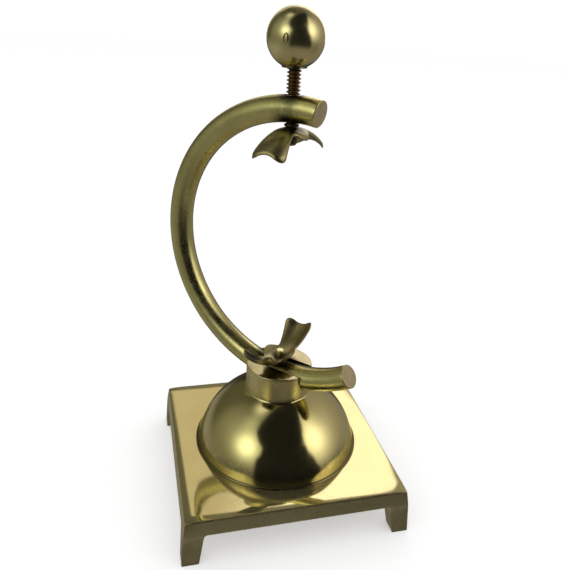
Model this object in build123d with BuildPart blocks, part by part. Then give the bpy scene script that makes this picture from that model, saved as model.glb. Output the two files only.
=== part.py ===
from build123d import *
from math import atan, cos, degrees, radians, sin, sqrt
import os

# Brass C-clamp display stand: a square footed base, a turned dome with a collar, a round bar
# bent into a C, a fixed dished jaw above the collar and a swivelling dished jaw on a
# ball-headed screw.  Millimetres.  The origin is on the ground under the centre of the base,
# +Z runs up the screw, and the sides of the base lie along X and Y.

# ---- Base casting ---------------------------------------------------------------------------
BASE_SIDE = 114.0            # side of the top face
BASE_TOP = 25.6              # height of the top face above the ground
PLATE_T = 8.7                # height of the plate's side walls
PLATE_DRAFT = 1.2            # the walls lean out by this much over their height
PLATE_CORNER_R = 2.2         # rounding of the plate's vertical corners
TOP_ROLL = 0.9               # softened upper edge
FOOT_TOP = 10.4              # side of a foot where it leaves the plate
FOOT_TOE = 8.6               # side of a foot on the ground
FOOT_FLARE = 2.3             # how far the toe stands outside the top face's edge
FOOT_ROOT = 2.2              # gusset between a foot and the plate's underside
FOOT_CORNER_R = PLATE_CORNER_R + PLATE_DRAFT
FOOT_PROUD = 0.1             # the feet stand this much outside the walls at their top
POCKET_RIM = 13.5            # width of the rim left around the recess underneath
POCKET_CORNER_R = 12.0       # rounding of the recess's corners
POCKET_DEPTH = 3.2           # depth of the recess under the plate
POCKET_DRAFT = 1.0           # lean of the recess walls

# ---- Dome and collar ------------------------------------------------------------------------
DOME_FOOT_R = 45.3           # radius of the thin bead round the foot, where it stands on the plate
DOME_BEAD = 0.8              # height of the bead's side
BEAD_SLOPE = 0.2             # how far its upper face rises inwards
DOME_R = 45.2                # spherical radius
DOME_CZ = 17.7               # height of the sphere's centre
COLLAR_R = 17.7
COLLAR_TOP = 73.9
COLLAR_FILLET = 1.2          # cove between dome and collar
COLLAR_EDGE = 0.5            # softened upper edge of the collar
DOME_WALL = 5.0              # wall of the hollow casting
HUB_R = 9.0                  # central hub inside the casting
CAVITY_TOP = 54.0            # roof of the hollow
CAVITY_FOOT_R = 38.0         # outer side of the hollow, on the plate
CAVITY_SHOULDER_R = 36.0     # and where it turns into the roof
CAVITY_SHOULDER_Z = 31.3
ROOF_FLAT = 4.0              # level part of the roof, next to the hub
CHANNEL_START = -120.0       # stretch of the C over which the bar sinks into the casting
CHANNEL_ARC = 60.0
CHANNEL_HALF = 7.1           # half width of the channel above the bar's middle

# ---- Bent bar -------------------------------------------------------------------------------
BAR_R = 6.18                 # half-inch bar, polished down
ARC_R = 69.45                # centreline radius of the C
ARC_U = 2.95                 # centre of the C, along the direction the bar points
ARC_Z = 138.3
LOWER_END = -56.3            # where the bar is sawn off, degrees above the horizontal
UPPER_END = 80.4
BAR_FIT = 0.05               # radial room between bar and channel
BAR_AZIMUTH = -45.0          # the C stands over a diagonal of the base
BAR_END_EDGE = 0.5           # softened sawn edge

# ---- Screw and knob -------------------------------------------------------------------------
SCREW_R = 3.25               # quarter-inch screw, coarse rolled thread
PITCH = 1.65
THREAD_DEPTH = 0.95
THREAD_ROOT = 0.72           # half width of the thread at its root
THREAD_CREST = 0.12          # half width of its crest
THREAD_SINK = 0.02           # the ridge starts this far inside the core
SCREW_FIT = 0.06             # radial room of the screw in the bar
SPOTFACE_R = 4.3             # shallow countersink where the screw enters the bar
SPOTFACE_DEPTH = 1.2
BALL_R = 12.84
BALL_Z = 237.3
BALL_LIP_R = 5.7             # little lip under the ball
BALL_LIP_Z = 225.1
SHANK_R = 2.9                # plain upper end of the screw, inside the ball
SHANK_TOP = 236.0
SHANK_FIT = 0.03             # radial room of the shank in the ball
PIN_R = 1.1                  # cross pin that locks the ball on the screw
PIN_AZIMUTH = -123.5         # front left of the ball
PIN_START = 1.2              # the pin reaches this near the axis
PIN_FIT = 0.02               # radial room of the pin
PIN_SUNK = 0.35              # how far the pin's end lies inside the ball's surface

# ---- Jaws -----------------------------------------------------------------------------------
JAW_T = 1.35                 # thickness of the sheet
JAW_DISC_R = 8.3             # round middle of the outline
JAW_NECK = 2.9               # half width of the wings where they would cross the centre
JAW_TIP = 9.2                # half width at the end of the wings
JAW_LEN = 24.1               # half length
JAW_WAIST_R = 5.0            # blend between disc and wing
JAW_CORNER_R = 4.2           # rounded corners of the wings
JAW_BEND_R = 35.0            # bend along the length
JAW_DISH_R = 9.8             # bend across the width
LOWER_JAW_Z = 76.6           # underside of the fixed jaw at its centre
UPPER_JAW_Z = 199.9          # upper side of the swivelling jaw at its centre
JAW_AZIMUTH = BAR_AZIMUTH + 90.0
JAW_HALF_ARC = 76.0          # how far the dished section is carried round, degrees
JAW_BLANK_ARC = 45.0         # how far it is carried along each wing, degrees
JAW_BLANK_H = 40.0           # taller than the bent sheet
JAW_HOLE_DEPTH = 8.0         # longer than the hole through the bent sheet
LOWER_JAW_TILT = 4.5         # the fixed jaw leans back a little, as it was soldered
UPPER_JAW_TURN = 5.0         # the free jaw has swivelled a little
UPPER_JAW_TILT = 4.0         # and was bent a little lower at its back end
UPPER_JAW_DROP = 0.15        # play between the free jaw and the washer above it

# ---- Stack that ties base, dome, bar and fixed jaw together -----------------------------------
STUD_R = 2.2
STUD_TOP = 81.85             # rounded end, standing above the fixed jaw
STUD_BOTTOM = 13.2
STUD_ROUND = 0.7
STUD_CHAMFER = 0.4
STUD_HOLE_R = 2.3
HUB_WASHER_R = 4.2           # saddle hub between bar and fixed jaw
HUB_SADDLE_START = -110.0    # stretch of the bar that the hub's underside is shaped to
HUB_SADDLE_ARC = 35.0
HUB_SKIRT = 1.2              # how far the hub reaches down round the bar
BASE_WASHER_R = 9.0
BASE_WASHER_T = 1.2
LOCK_R = 4.4
LOCK_T = 1.1
LOCK_GAP = 0.8               # saw cut of the lock washer
LOCK_GAP_AZIMUTH = 20.0
NUT_FLATS = 8.0
NUT_T = 3.4
NUT_ROUND = 0.1              # the nut's underside is turned down to this inside its flats
RING_EDGE = 0.15             # chamfer round the washers

# ---- Swivel at the foot of the screw ----------------------------------------------------------
PIVOT_R = 2.15
PIVOT_FIT = 0.08
THRUST_R = 3.4
THRUST_T = 1.0
RETAINER_R = 2.9
SLEEVE_TOP = 197.55          # the sleeve under the jaw ends here
PIVOT_BOTTOM = 191.2
RIVET_R = 2.75               # spread end of the pivot
RIVET_T = 1.2
RIVET_ROUND = 0.8
EDGE_WINDOW = 0.1            # tolerance when picking edges by position

plate_bottom = BASE_TOP - PLATE_T
web_z = plate_bottom + POCKET_DEPTH             # underside of the plate inside the recess
bar_dir = Vector(cos(radians(BAR_AZIMUTH)), sin(radians(BAR_AZIMUTH)), 0)
bar_side = Vector(-bar_dir.Y, bar_dir.X, 0)
bar_centre = Vector(ARC_U * bar_dir.X, ARC_U * bar_dir.Y, ARC_Z)
bar_axis = Axis(bar_centre, bar_side)


def bar_section(angle):
    """Plane square to the bar at an angle on the C, its x axis pointing away from the centre."""
    out = bar_dir * cos(radians(angle)) + Vector(0, 0, sin(radians(angle)))
    along = bar_side.cross(out)
    return Plane(origin=bar_centre + out * ARC_R, x_dir=out, z_dir=along)


def bar_height(offset):
    """Height of the bar's centreline above or below the C's centre, over the screw's axis."""
    return sqrt(ARC_R**2 - (offset - ARC_U) ** 2)


bar_low_top = ARC_Z - bar_height(0) + BAR_R     # top of the bar where the stud leaves it
bar_high_bottom = ARC_Z + bar_height(0) - BAR_R
bar_high_top = ARC_Z + bar_height(0) + BAR_R
bar_sweep = 360.0 - (UPPER_END - LOWER_END)
pin_plane = Plane(
    origin=(0, 0, BALL_Z),
    x_dir=(0, 0, 1),
    z_dir=(cos(radians(PIN_AZIMUTH)), sin(radians(PIN_AZIMUTH)), 0),
)

# ---- Base: plate, drafted walls, corner feet and the recess underneath ----------------------
wall_taper = degrees(atan(PLATE_DRAFT / PLATE_T))
pocket_taper = degrees(atan(POCKET_DRAFT / POCKET_DEPTH))
pocket_side = BASE_SIDE - 2 * POCKET_RIM
foot_edge = BASE_SIDE / 2 + PLATE_DRAFT
foot_root = FOOT_TOP + FOOT_ROOT
foot_sections = (
    (plate_bottom, foot_root, foot_edge - foot_root / 2),
    (plate_bottom - FOOT_ROOT, FOOT_TOP, foot_edge + FOOT_PROUD - FOOT_TOP / 2),
    (0.0, FOOT_TOE, BASE_SIDE / 2 + FOOT_FLARE - FOOT_TOE / 2),
)
with BuildPart() as base:
    with BuildSketch(Plane.XY.offset(BASE_TOP)):
        RectangleRounded(BASE_SIDE, BASE_SIDE, PLATE_CORNER_R)
    extrude(amount=-PLATE_T, taper=-wall_taper)
    fillet(base.faces().sort_by(Axis.Z)[-1].edges(), TOP_ROLL)
    for sx in (-1, 1):
        for sy in (-1, 1):
            for level, side, centre in foot_sections:
                with BuildSketch(Plane((sx * centre, sy * centre, level))):
                    RectangleRounded(side, side, FOOT_CORNER_R)
            loft(ruled=True)
    with BuildSketch(Plane.XY.offset(plate_bottom)):
        RectangleRounded(pocket_side, pocket_side, POCKET_CORNER_R)
    extrude(amount=POCKET_DEPTH, taper=pocket_taper, mode=Mode.SUBTRACT)
    with BuildSketch(Plane.XY.offset(web_z)):
        Circle(STUD_HOLE_R)
    extrude(amount=BASE_TOP - web_z, mode=Mode.SUBTRACT)
base.part.label = "base"

# ---- Dome: bead, spherical dome and collar, hollow below, channelled for the bar ------------
bead_top_z = BASE_TOP + DOME_BEAD + BEAD_SLOPE
dome_low_r = sqrt(DOME_R**2 - (bead_top_z - DOME_CZ) ** 2)
collar_foot_z = DOME_CZ + sqrt(DOME_R**2 - COLLAR_R**2)
with BuildPart() as dome:
    with BuildSketch(Plane.XZ) as dome_profile:
        with BuildLine():
            foot = Line((0, BASE_TOP), (DOME_FOOT_R, BASE_TOP))
            bead = Line(foot @ 1, (DOME_FOOT_R, BASE_TOP + DOME_BEAD))
            bead_top = Line(bead @ 1, (dome_low_r, bead_top_z))
            cap = RadiusArc(bead_top @ 1, (COLLAR_R, collar_foot_z), -DOME_R)
            neck = Line(cap @ 1, (COLLAR_R, COLLAR_TOP))
            crown = Line(neck @ 1, (0, COLLAR_TOP))
            Line(crown @ 1, foot @ 0)
        make_face()
    revolve(axis=Axis.Z)
    cove = dome.edges().filter_by(GeomType.CIRCLE).filter_by_position(
        Axis.Z, collar_foot_z - EDGE_WINDOW, collar_foot_z + EDGE_WINDOW
    )
    fillet(cove, COLLAR_FILLET)
    rim = dome.edges().filter_by(GeomType.CIRCLE).filter_by_position(
        Axis.Z, COLLAR_TOP - EDGE_WINDOW, COLLAR_TOP + EDGE_WINDOW
    )
    fillet(rim, COLLAR_EDGE)
    with BuildSketch(Plane.XZ):
        with BuildLine():
            floor = Line((HUB_R, BASE_TOP), (CAVITY_FOOT_R, BASE_TOP))
            side = Line(floor @ 1, (CAVITY_SHOULDER_R, CAVITY_SHOULDER_Z))
            roof = RadiusArc(side @ 1, (HUB_R + ROOF_FLAT, CAVITY_TOP), -(DOME_R - DOME_WALL))
            hub = Line(roof @ 1, (HUB_R, CAVITY_TOP))
            Line(hub @ 1, floor @ 0)
        make_face()
    revolve(axis=Axis.Z, mode=Mode.SUBTRACT)
    with BuildSketch(bar_section(CHANNEL_START)):
        Circle(BAR_R + BAR_FIT)
        with Locations((-BAR_R, 0)):
            Rectangle(2 * BAR_R, 2 * CHANNEL_HALF)
    revolve(axis=bar_axis, revolution_arc=-CHANNEL_ARC, mode=Mode.SUBTRACT)
    with BuildSketch(Plane.XY.offset(BASE_TOP)):
        Circle(STUD_HOLE_R)
    extrude(amount=COLLAR_TOP - BASE_TOP, mode=Mode.SUBTRACT)
dome.part.label = "dome"

# ---- Arm: round bar bent to a C, drilled for the stud and for the screw ----------------------
with BuildPart() as arm:
    with BuildSketch(bar_section(UPPER_END)):
        Circle(BAR_R)
    revolve(axis=bar_axis, revolution_arc=-bar_sweep)
    sawn_ends = arm.edges().filter_by(GeomType.CIRCLE)
    fillet(sawn_ends, BAR_END_EDGE)
    with BuildSketch(Plane.XY.offset(bar_low_top - 3 * BAR_R)):
        Circle(STUD_HOLE_R)
    extrude(amount=4 * BAR_R, mode=Mode.SUBTRACT)
    with BuildSketch(Plane.XY.offset(bar_high_bottom - BAR_R)):
        Circle(SCREW_R + SCREW_FIT)
    extrude(amount=4 * BAR_R, mode=Mode.SUBTRACT)
    with BuildSketch(Plane.XY.offset(bar_high_top - SPOTFACE_DEPTH)):
        Circle(SCREW_R + SCREW_FIT)
    with BuildSketch(Plane.XY.offset(bar_high_top + 0.5 * SPOTFACE_DEPTH)):
        Circle(1.5 * SPOTFACE_R - 0.5 * SCREW_R)
    loft(mode=Mode.SUBTRACT)
arm.part.label = "arm"


def dished_sheet():
    """Bow-tie sheet, long along X, hollow side up, its underside's middle at the origin."""
    with BuildPart() as sheet:
        with BuildSketch(Plane.YZ):
            with BuildLine():
                middle = (0, JAW_T + JAW_DISH_R)
                start = 270 - JAW_HALF_ARC
                inside = CenterArc(middle, JAW_DISH_R, start, 2 * JAW_HALF_ARC)
                outside = CenterArc(middle, JAW_DISH_R + JAW_T, start, 2 * JAW_HALF_ARC)
                Line(inside @ 0, outside @ 0)
                Line(inside @ 1, outside @ 1)
            make_face()
        bend_axis = Axis((0, 0, JAW_BEND_R + JAW_T), (0, 1, 0))
        revolve(axis=bend_axis, revolution_arc=JAW_BLANK_ARC)
        mirror(about=Plane.YZ)
        with BuildSketch() as outline:
            Polygon(
                (-JAW_LEN, -JAW_TIP), (0, -JAW_NECK), (JAW_LEN, -JAW_TIP),
                (JAW_LEN, JAW_TIP), (0, JAW_NECK), (-JAW_LEN, JAW_TIP), align=None,
            )
            corners = outline.vertices().filter_by(lambda v: abs(v.X) > JAW_LEN - EDGE_WINDOW)
            fillet(corners, JAW_CORNER_R)
            Circle(JAW_DISC_R)
            waist = outline.vertices().filter_by(
                lambda v: abs(Vector(v).length - JAW_DISC_R) < EDGE_WINDOW
            )
            fillet(waist, JAW_WAIST_R)
        extrude(amount=JAW_BLANK_H, mode=Mode.INTERSECT)
    return sheet.part


def flat_ring(outer_r, inner_r, low, thickness):
    """Plain washer about the screw's axis."""
    with BuildPart() as ring:
        with BuildSketch(Plane.XY.offset(low)):
            Circle(outer_r)
            Circle(inner_r, mode=Mode.SUBTRACT)
        extrude(amount=thickness)
        chamfer(ring.edges().filter_by(GeomType.CIRCLE).group_by(SortBy.RADIUS)[-1], RING_EDGE)
    return ring.part


def compass(azimuth):
    """Horizontal unit vector at an angle from +X."""
    return Vector(cos(radians(azimuth)), sin(radians(azimuth)), 0)


# ---- Fixed jaw, soldered on the stud above the bar, and the hub under it ----------------------
jaw_long = compass(JAW_AZIMUTH)
jaw_up = Vector(0, 0, 1).rotate(Axis((0, 0, 0), jaw_long), -LOWER_JAW_TILT)
lower_blank = Plane(origin=(0, 0, LOWER_JAW_Z), x_dir=jaw_long, z_dir=jaw_up) * dished_sheet()
with BuildPart() as lower_jaw:
    add(lower_blank)
    with BuildSketch(Plane.XY.offset(LOWER_JAW_Z - JAW_HOLE_DEPTH / 2)):
        Circle(STUD_HOLE_R)
    extrude(amount=JAW_HOLE_DEPTH, mode=Mode.SUBTRACT)
lower_jaw.part.label = "lower_jaw"

with BuildPart() as jaw_hub:
    hub_low = bar_low_top - HUB_SKIRT
    add(flat_ring(HUB_WASHER_R, STUD_HOLE_R, hub_low, LOWER_JAW_Z - hub_low))
    with BuildSketch(bar_section(HUB_SADDLE_START)):
        Circle(BAR_R)
    revolve(axis=bar_axis, revolution_arc=-HUB_SADDLE_ARC, mode=Mode.SUBTRACT)
jaw_hub.part.label = "jaw_hub"

# ---- Tie stud, and the washers and nut under the base -----------------------------------------
with BuildPart() as tie_stud:
    with BuildSketch(Plane.XY.offset(STUD_BOTTOM)):
        Circle(STUD_R)
    extrude(amount=STUD_TOP - STUD_BOTTOM)
    fillet(tie_stud.faces().sort_by(Axis.Z)[-1].edges(), STUD_ROUND)
    chamfer(tie_stud.faces().sort_by(Axis.Z)[0].edges(), STUD_CHAMFER)
tie_stud.part.label = "tie_stud"

with BuildPart() as base_washer:
    add(flat_ring(BASE_WASHER_R, STUD_HOLE_R, web_z - BASE_WASHER_T, BASE_WASHER_T))
base_washer.part.label = "base_washer"

lock_z = web_z - BASE_WASHER_T - LOCK_T
with BuildPart() as lock_washer:
    add(flat_ring(LOCK_R, STUD_HOLE_R, lock_z, LOCK_T))
    with BuildSketch(Plane.XY.offset(lock_z)):
        with Locations(Location((LOCK_R, 0), LOCK_GAP_AZIMUTH)):
            Rectangle(2 * LOCK_R, LOCK_GAP)
    extrude(amount=LOCK_T, mode=Mode.SUBTRACT)
lock_washer.part.label = "lock_washer"

nut_z = lock_z - NUT_T
with BuildPart() as base_nut:
    with BuildSketch(Plane.XY.offset(nut_z)):
        RegularPolygon(NUT_FLATS / 2, 6, major_radius=False)
        Circle(STUD_HOLE_R, mode=Mode.SUBTRACT)
    extrude(amount=NUT_T)
    with BuildSketch(Plane.XY.offset(nut_z)):
        Circle(NUT_FLATS / 2 - NUT_ROUND)
    extrude(amount=NUT_T, taper=-45, mode=Mode.INTERSECT)
base_nut.part.label = "base_nut"

# ---- Screw: threaded shank, plain upper end in the ball, pivot with a spread end below --------
shoulder_z = UPPER_JAW_Z + THRUST_T
thread_start = shoulder_z + PITCH / 2
thread_end = BALL_LIP_Z - PITCH / 2
core_r = SCREW_R - THREAD_DEPTH
with BuildPart() as spindle:
    with BuildSketch(Plane.XY.offset(shoulder_z)):
        Circle(core_r)
    extrude(amount=BALL_LIP_Z - shoulder_z)
    with BuildLine() as thread_line:
        sunk_r = core_r - THREAD_SINK
        Helix(PITCH, thread_end - thread_start, sunk_r, center=(0, 0, thread_start))
    with BuildSketch(Plane(thread_line.line @ 0, x_dir=(1, 0, 0), z_dir=thread_line.line % 0)):
        with BuildLine():
            Polyline(
                (0, -THREAD_ROOT), (SCREW_R - sunk_r, -THREAD_CREST),
                (SCREW_R - sunk_r, THREAD_CREST), (0, THREAD_ROOT), close=True,
            )
        make_face()
    sweep(path=thread_line.line, is_frenet=True)
    with BuildSketch(Plane.XY.offset(BALL_LIP_Z)):
        Circle(SHANK_R)
    extrude(amount=SHANK_TOP - BALL_LIP_Z)
    with BuildSketch(Plane.XY.offset(PIVOT_BOTTOM)):
        Circle(PIVOT_R)
    extrude(amount=shoulder_z - PIVOT_BOTTOM)
    with BuildSketch(Plane.XY.offset(PIVOT_BOTTOM)):
        Circle(RIVET_R)
    extrude(amount=RIVET_T)
    fillet(spindle.faces().sort_by(Axis.Z)[0].edges(), RIVET_ROUND)
    with BuildSketch(pin_plane.offset(PIN_START)):
        Circle(PIN_R + PIN_FIT)
    extrude(amount=SHANK_R, mode=Mode.SUBTRACT)
spindle.part.label = "spindle"

# ---- Ball knob and its cross pin --------------------------------------------------------------
with BuildPart() as ball_knob:
    with BuildSketch(Plane.XZ):
        with BuildLine():
            lip_top = sqrt(BALL_R**2 - BALL_LIP_R**2)
            bottom = Line((0, BALL_LIP_Z), (BALL_LIP_R, BALL_LIP_Z))
            lip = Line(bottom @ 1, (BALL_LIP_R, BALL_Z - lip_top))
            over = ThreePointArc(lip @ 1, (BALL_R, BALL_Z), (0, BALL_Z + BALL_R))
            Line(over @ 1, bottom @ 0)
        make_face()
    revolve(axis=Axis.Z)
    with BuildSketch(Plane.XY.offset(BALL_LIP_Z)):
        Circle(SHANK_R + SHANK_FIT)
    extrude(amount=SHANK_TOP - BALL_LIP_Z, mode=Mode.SUBTRACT)
    with BuildSketch(pin_plane.offset(PIN_START)):
        Circle(PIN_R + PIN_FIT)
    extrude(amount=BALL_R, mode=Mode.SUBTRACT)
ball_knob.part.label = "ball_knob"

with BuildPart() as knob_pin:
    with BuildSketch(pin_plane.offset(PIN_START)):
        Circle(PIN_R)
    extrude(amount=BALL_R - PIN_START - PIN_SUNK)
knob_pin.part.label = "knob_pin"

# ---- Swivelling jaw, its thrust washer above and its sleeve below ---------------------------
upper_level = compass(JAW_AZIMUTH + UPPER_JAW_TURN)
upper_cross = Axis((0, 0, 0), Vector(0, 0, 1).cross(upper_level))
upper_blank = Plane(
    origin=(0, 0, UPPER_JAW_Z - UPPER_JAW_DROP),
    x_dir=upper_level.rotate(upper_cross, UPPER_JAW_TILT),
    z_dir=Vector(0, 0, -1).rotate(upper_cross, UPPER_JAW_TILT),
) * dished_sheet()
with BuildPart() as upper_jaw:
    add(upper_blank)
    with BuildSketch(Plane.XY.offset(UPPER_JAW_Z - JAW_HOLE_DEPTH / 2)):
        Circle(PIVOT_R + PIVOT_FIT)
    extrude(amount=JAW_HOLE_DEPTH, mode=Mode.SUBTRACT)
upper_jaw.part.label = "upper_jaw"

with BuildPart() as thrust_washer:
    add(flat_ring(THRUST_R, PIVOT_R + PIVOT_FIT, UPPER_JAW_Z, THRUST_T))
thrust_washer.part.label = "thrust_washer"

with BuildPart() as retaining_sleeve:
    sleeve_low = PIVOT_BOTTOM + RIVET_T
    add(flat_ring(RETAINER_R, PIVOT_R + PIVOT_FIT, sleeve_low, SLEEVE_TOP - sleeve_low))
retaining_sleeve.part.label = "retaining_sleeve"

os.makedirs("parts", exist_ok=True)
PIECES = (
    base, dome, arm, lower_jaw, jaw_hub, tie_stud, base_washer, lock_washer, base_nut,
    spindle, ball_knob, knob_pin, upper_jaw, thrust_washer, retaining_sleeve,
)
for piece in PIECES:
    export_step(piece.part, f"parts/{piece.part.label}.step")
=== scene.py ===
"""Looks of the brass clamp stand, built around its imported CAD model.

Lengths are in metres in the finished meshes. The shape constants below are in millimetres,
and MM turns them into metres. The bar of the C stands over a diagonal of the base; U is the
direction in which its two ends point, and V is the horizontal direction square to it.
"""

from math import acos, asin, atan2, cos, degrees, exp, hypot, log, pi, radians, sin, sqrt

import bmesh
import bpy
from mathutils import Matrix, Vector, noise


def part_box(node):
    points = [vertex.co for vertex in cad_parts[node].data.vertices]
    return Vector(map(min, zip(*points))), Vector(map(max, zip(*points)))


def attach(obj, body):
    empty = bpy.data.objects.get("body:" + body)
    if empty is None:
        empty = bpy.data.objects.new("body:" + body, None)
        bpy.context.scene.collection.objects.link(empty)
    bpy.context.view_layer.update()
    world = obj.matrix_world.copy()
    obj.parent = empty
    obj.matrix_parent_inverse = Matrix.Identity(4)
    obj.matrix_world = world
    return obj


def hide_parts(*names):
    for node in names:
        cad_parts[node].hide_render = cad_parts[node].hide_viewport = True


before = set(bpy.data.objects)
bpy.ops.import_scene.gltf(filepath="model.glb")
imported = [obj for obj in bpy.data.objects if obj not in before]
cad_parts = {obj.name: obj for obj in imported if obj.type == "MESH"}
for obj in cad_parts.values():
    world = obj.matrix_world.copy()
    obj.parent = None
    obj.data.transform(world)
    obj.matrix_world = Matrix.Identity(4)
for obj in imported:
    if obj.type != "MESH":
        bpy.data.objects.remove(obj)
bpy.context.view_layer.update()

MM = 0.001
UP = Vector((0, 0, 1))

# ---- Sizes shared with the CAD model, read from the frame where it holds them ----------------
base_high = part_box("base")[1]
dome_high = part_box("dome")[1]
ball_low, ball_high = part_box("ball_knob")

BASE_TOP = base_high.z / MM
EDGE = 57.0                  # half side of the base's top face
PLATE_T = 8.7
WALL_LEAN = 1.2              # how far the walls lean out over the plate's height
TOE_OUT = base_high.x / MM - EDGE
POCKET_HALF = 43.5           # half side of the pocket under the plate
POCKET_DEPTH = 3.2
LEG_INNER = 47.0             # inner faces of the feet, before the cage is moved
LEG_ROOT_INNER = 47.8        # and after it, at the plate
LEG_SPREAD = 2.9             # how much farther out they stand at the toes
LEFT_ROLL = (50.0, 0.7)      # where the top face starts to fall, and by how much at the edge
RIGHT_ROLL = (52.6, 0.35)
FRONT_BACK_ROLL = (52.2, 0.4)
DOME_FOOT_R = dome_high.x / MM
COLLAR_TOP = dome_high.z / MM
COLLAR_R = 17.7
DOME_R = 45.2
DOME_CZ = 17.7
DOME_COVE = 1.2
BAR_R = 6.18
ARC_R = 69.45
ARC_U = 2.95
ARC_Z = 138.3
LOWER_END = radians(-56.3)
UPPER_END = radians(80.4)
BAR_AZIMUTH = radians(-45)
BALL_R = (ball_high.x - ball_low.x) / 2 / MM
BALL_Z = ball_high.z / MM - BALL_R
BALL_LIP_Z = ball_low.z / MM
BALL_LIP_R = 5.7
SCREW_R = 3.25
THREAD_DEPTH = 1.0
PITCH = 1.65
THREAD_FLAT = 0.12           # share of the wave that is flat at the root, and at the crest
THREAD_ROUNDING = 0.35
PIN_AZIMUTH = radians(-123.5)
JAW_T = 1.35
JAW_DISC_R = 8.3
JAW_NECK = 2.9
JAW_TIP = 9.2
JAW_LEN = 24.1
JAW_CORNER_R = 4.2
JAW_BEND_R = 35.0
JAW_DISH_R = 9.8
JAW_BLEND = 2.2              # how softly the disc runs into the wings
JAW_RIM_R = 0.6
FAR_WING_BEND = 0.72         # the upper jaw's far wing is bent a little less than the near one
UPPER_JAW_HOLE_R = 2.25
LOWER_JAW_Z = 76.6
LOWER_JAW_TILT = radians(4.5)
UPPER_JAW_Z = 199.9
UPPER_JAW_TURN = radians(5.0)
UPPER_JAW_TILT = radians(4.0)
UPPER_JAW_DROP = 0.15
STUD_R = 2.2
STUD_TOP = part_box("tie_stud")[1].z / MM

U = Vector((cos(BAR_AZIMUTH), sin(BAR_AZIMUTH), 0))
V = Vector((-U.y, U.x, 0))
PIN_WAY = Vector((cos(PIN_AZIMUTH), sin(PIN_AZIMUTH), 0))
ARC_CENTRE = U * ARC_U + UP * ARC_Z


# ---- Mesh helpers ---------------------------------------------------------------------------
def new_object(name, verts, faces, sharp=35):
    """Mesh object from vertices in millimetres, smooth but for edges sharper than an angle."""
    mesh = bpy.data.meshes.new(name)
    mesh.from_pydata([Vector(v) * MM for v in verts], [], faces)
    obj = bpy.data.objects.new(name, mesh)
    bpy.context.scene.collection.objects.link(obj)
    tidy_normals(obj, sharp)
    return obj


def tidy_normals(obj, sharp=35):
    """Faces turned outwards and shaded smooth, with sharp edges kept."""
    bm = bmesh.new()
    bm.from_mesh(obj.data)
    bmesh.ops.remove_doubles(bm, verts=bm.verts, dist=1e-7)
    bmesh.ops.recalc_face_normals(bm, faces=bm.faces)
    bm.to_mesh(obj.data)
    bm.free()
    obj.data.polygons.foreach_set("use_smooth", [True] * len(obj.data.polygons))
    obj.data.set_sharp_from_angle(angle=radians(sharp))


def bake_modifiers(obj):
    """Puts the result of an object's modifiers into its mesh."""
    bpy.context.view_layer.update()
    seen = obj.evaluated_get(bpy.context.evaluated_depsgraph_get())
    mesh = bpy.data.meshes.new_from_object(seen)
    old = obj.data
    obj.modifiers.clear()
    obj.data = mesh
    bpy.data.meshes.remove(old)


def cut(obj, cutter, sharp=35):
    """Takes the cutter's volume out of an object, and deletes the cutter."""
    boolean = obj.modifiers.new("cut", "BOOLEAN")
    boolean.operation = "DIFFERENCE"
    boolean.solver = "EXACT"
    boolean.object = cutter
    bake_modifiers(obj)
    bpy.data.objects.remove(cutter)
    tidy_normals(obj, sharp)


def step(low, high, x):
    """Smooth rise from 0 to 1 between two values."""
    t = min(1.0, max(0.0, (x - low) / (high - low)))
    return t * t * (3 - 2 * t)


def arc(cx, cy, r, start, end, count):
    """Points on an arc between two angles in degrees."""
    steps = [radians(start + (end - start) * i / count) for i in range(count + 1)]
    return [(cx + r * cos(a), cy + r * sin(a)) for a in steps]


def lathe(name, profile, turns=192, centre=(0, 0), sharp=35):
    """Solid of revolution about a vertical line, from a profile of radius and height pairs.
    Its first and last points lie on the axis."""
    verts = [(centre[0], centre[1], profile[0][1])]
    for r, z in profile[1:-1]:
        for i in range(turns):
            a = 2 * pi * i / turns
            verts.append((centre[0] + r * cos(a), centre[1] + r * sin(a), z))
    verts.append((centre[0], centre[1], profile[-1][1]))
    rings = len(profile) - 2
    faces = []
    for i in range(turns):
        j = (i + 1) % turns
        faces.append((0, 1 + j, 1 + i))
        for k in range(rings - 1):
            a, b = 1 + k * turns, 1 + (k + 1) * turns
            faces.append((a + i, a + j, b + j, b + i))
        top = 1 + (rings - 1) * turns
        faces.append((top + i, top + j, len(verts) - 1))
    return new_object(name, verts, faces, sharp)


def ring_faces(rings, around, capped=False):
    """Faces between rings of vertices that all have the same number of points."""
    faces = []
    for s in range(rings - 1):
        for k in range(around):
            a, b = s * around + k, s * around + (k + 1) % around
            faces.append((a, b, b + around, a + around))
    if capped:
        faces.append(tuple(range(around)))
        faces.append(tuple((rings - 1) * around + k for k in reversed(range(around))))
    return faces


def wander(obj, height):
    """Moves each vertex along its normal by a height in millimetres that depends on its place,
    as hand polishing leaves a surface."""
    normals = [v.normal.copy() for v in obj.data.vertices]
    for v, normal in zip(obj.data.vertices, normals):
        v.co += normal * (height(v.co / MM) * MM)


def axes_at(origin, x, y, z):
    """Matrix that lays an object's axes along three directions, from an origin."""
    return Matrix.Translation(origin) @ Matrix((x, y, z)).transposed().to_4x4()


def place(obj, body, material, slot, *nodes):
    """Gives a piece its material, its body and the CAD nodes it stands for. The slot is not used.
    """
    obj.data.materials.clear()
    obj.data.materials.append(material)
    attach(obj, body)
    if nodes:
        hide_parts(*nodes)
    return obj


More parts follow.
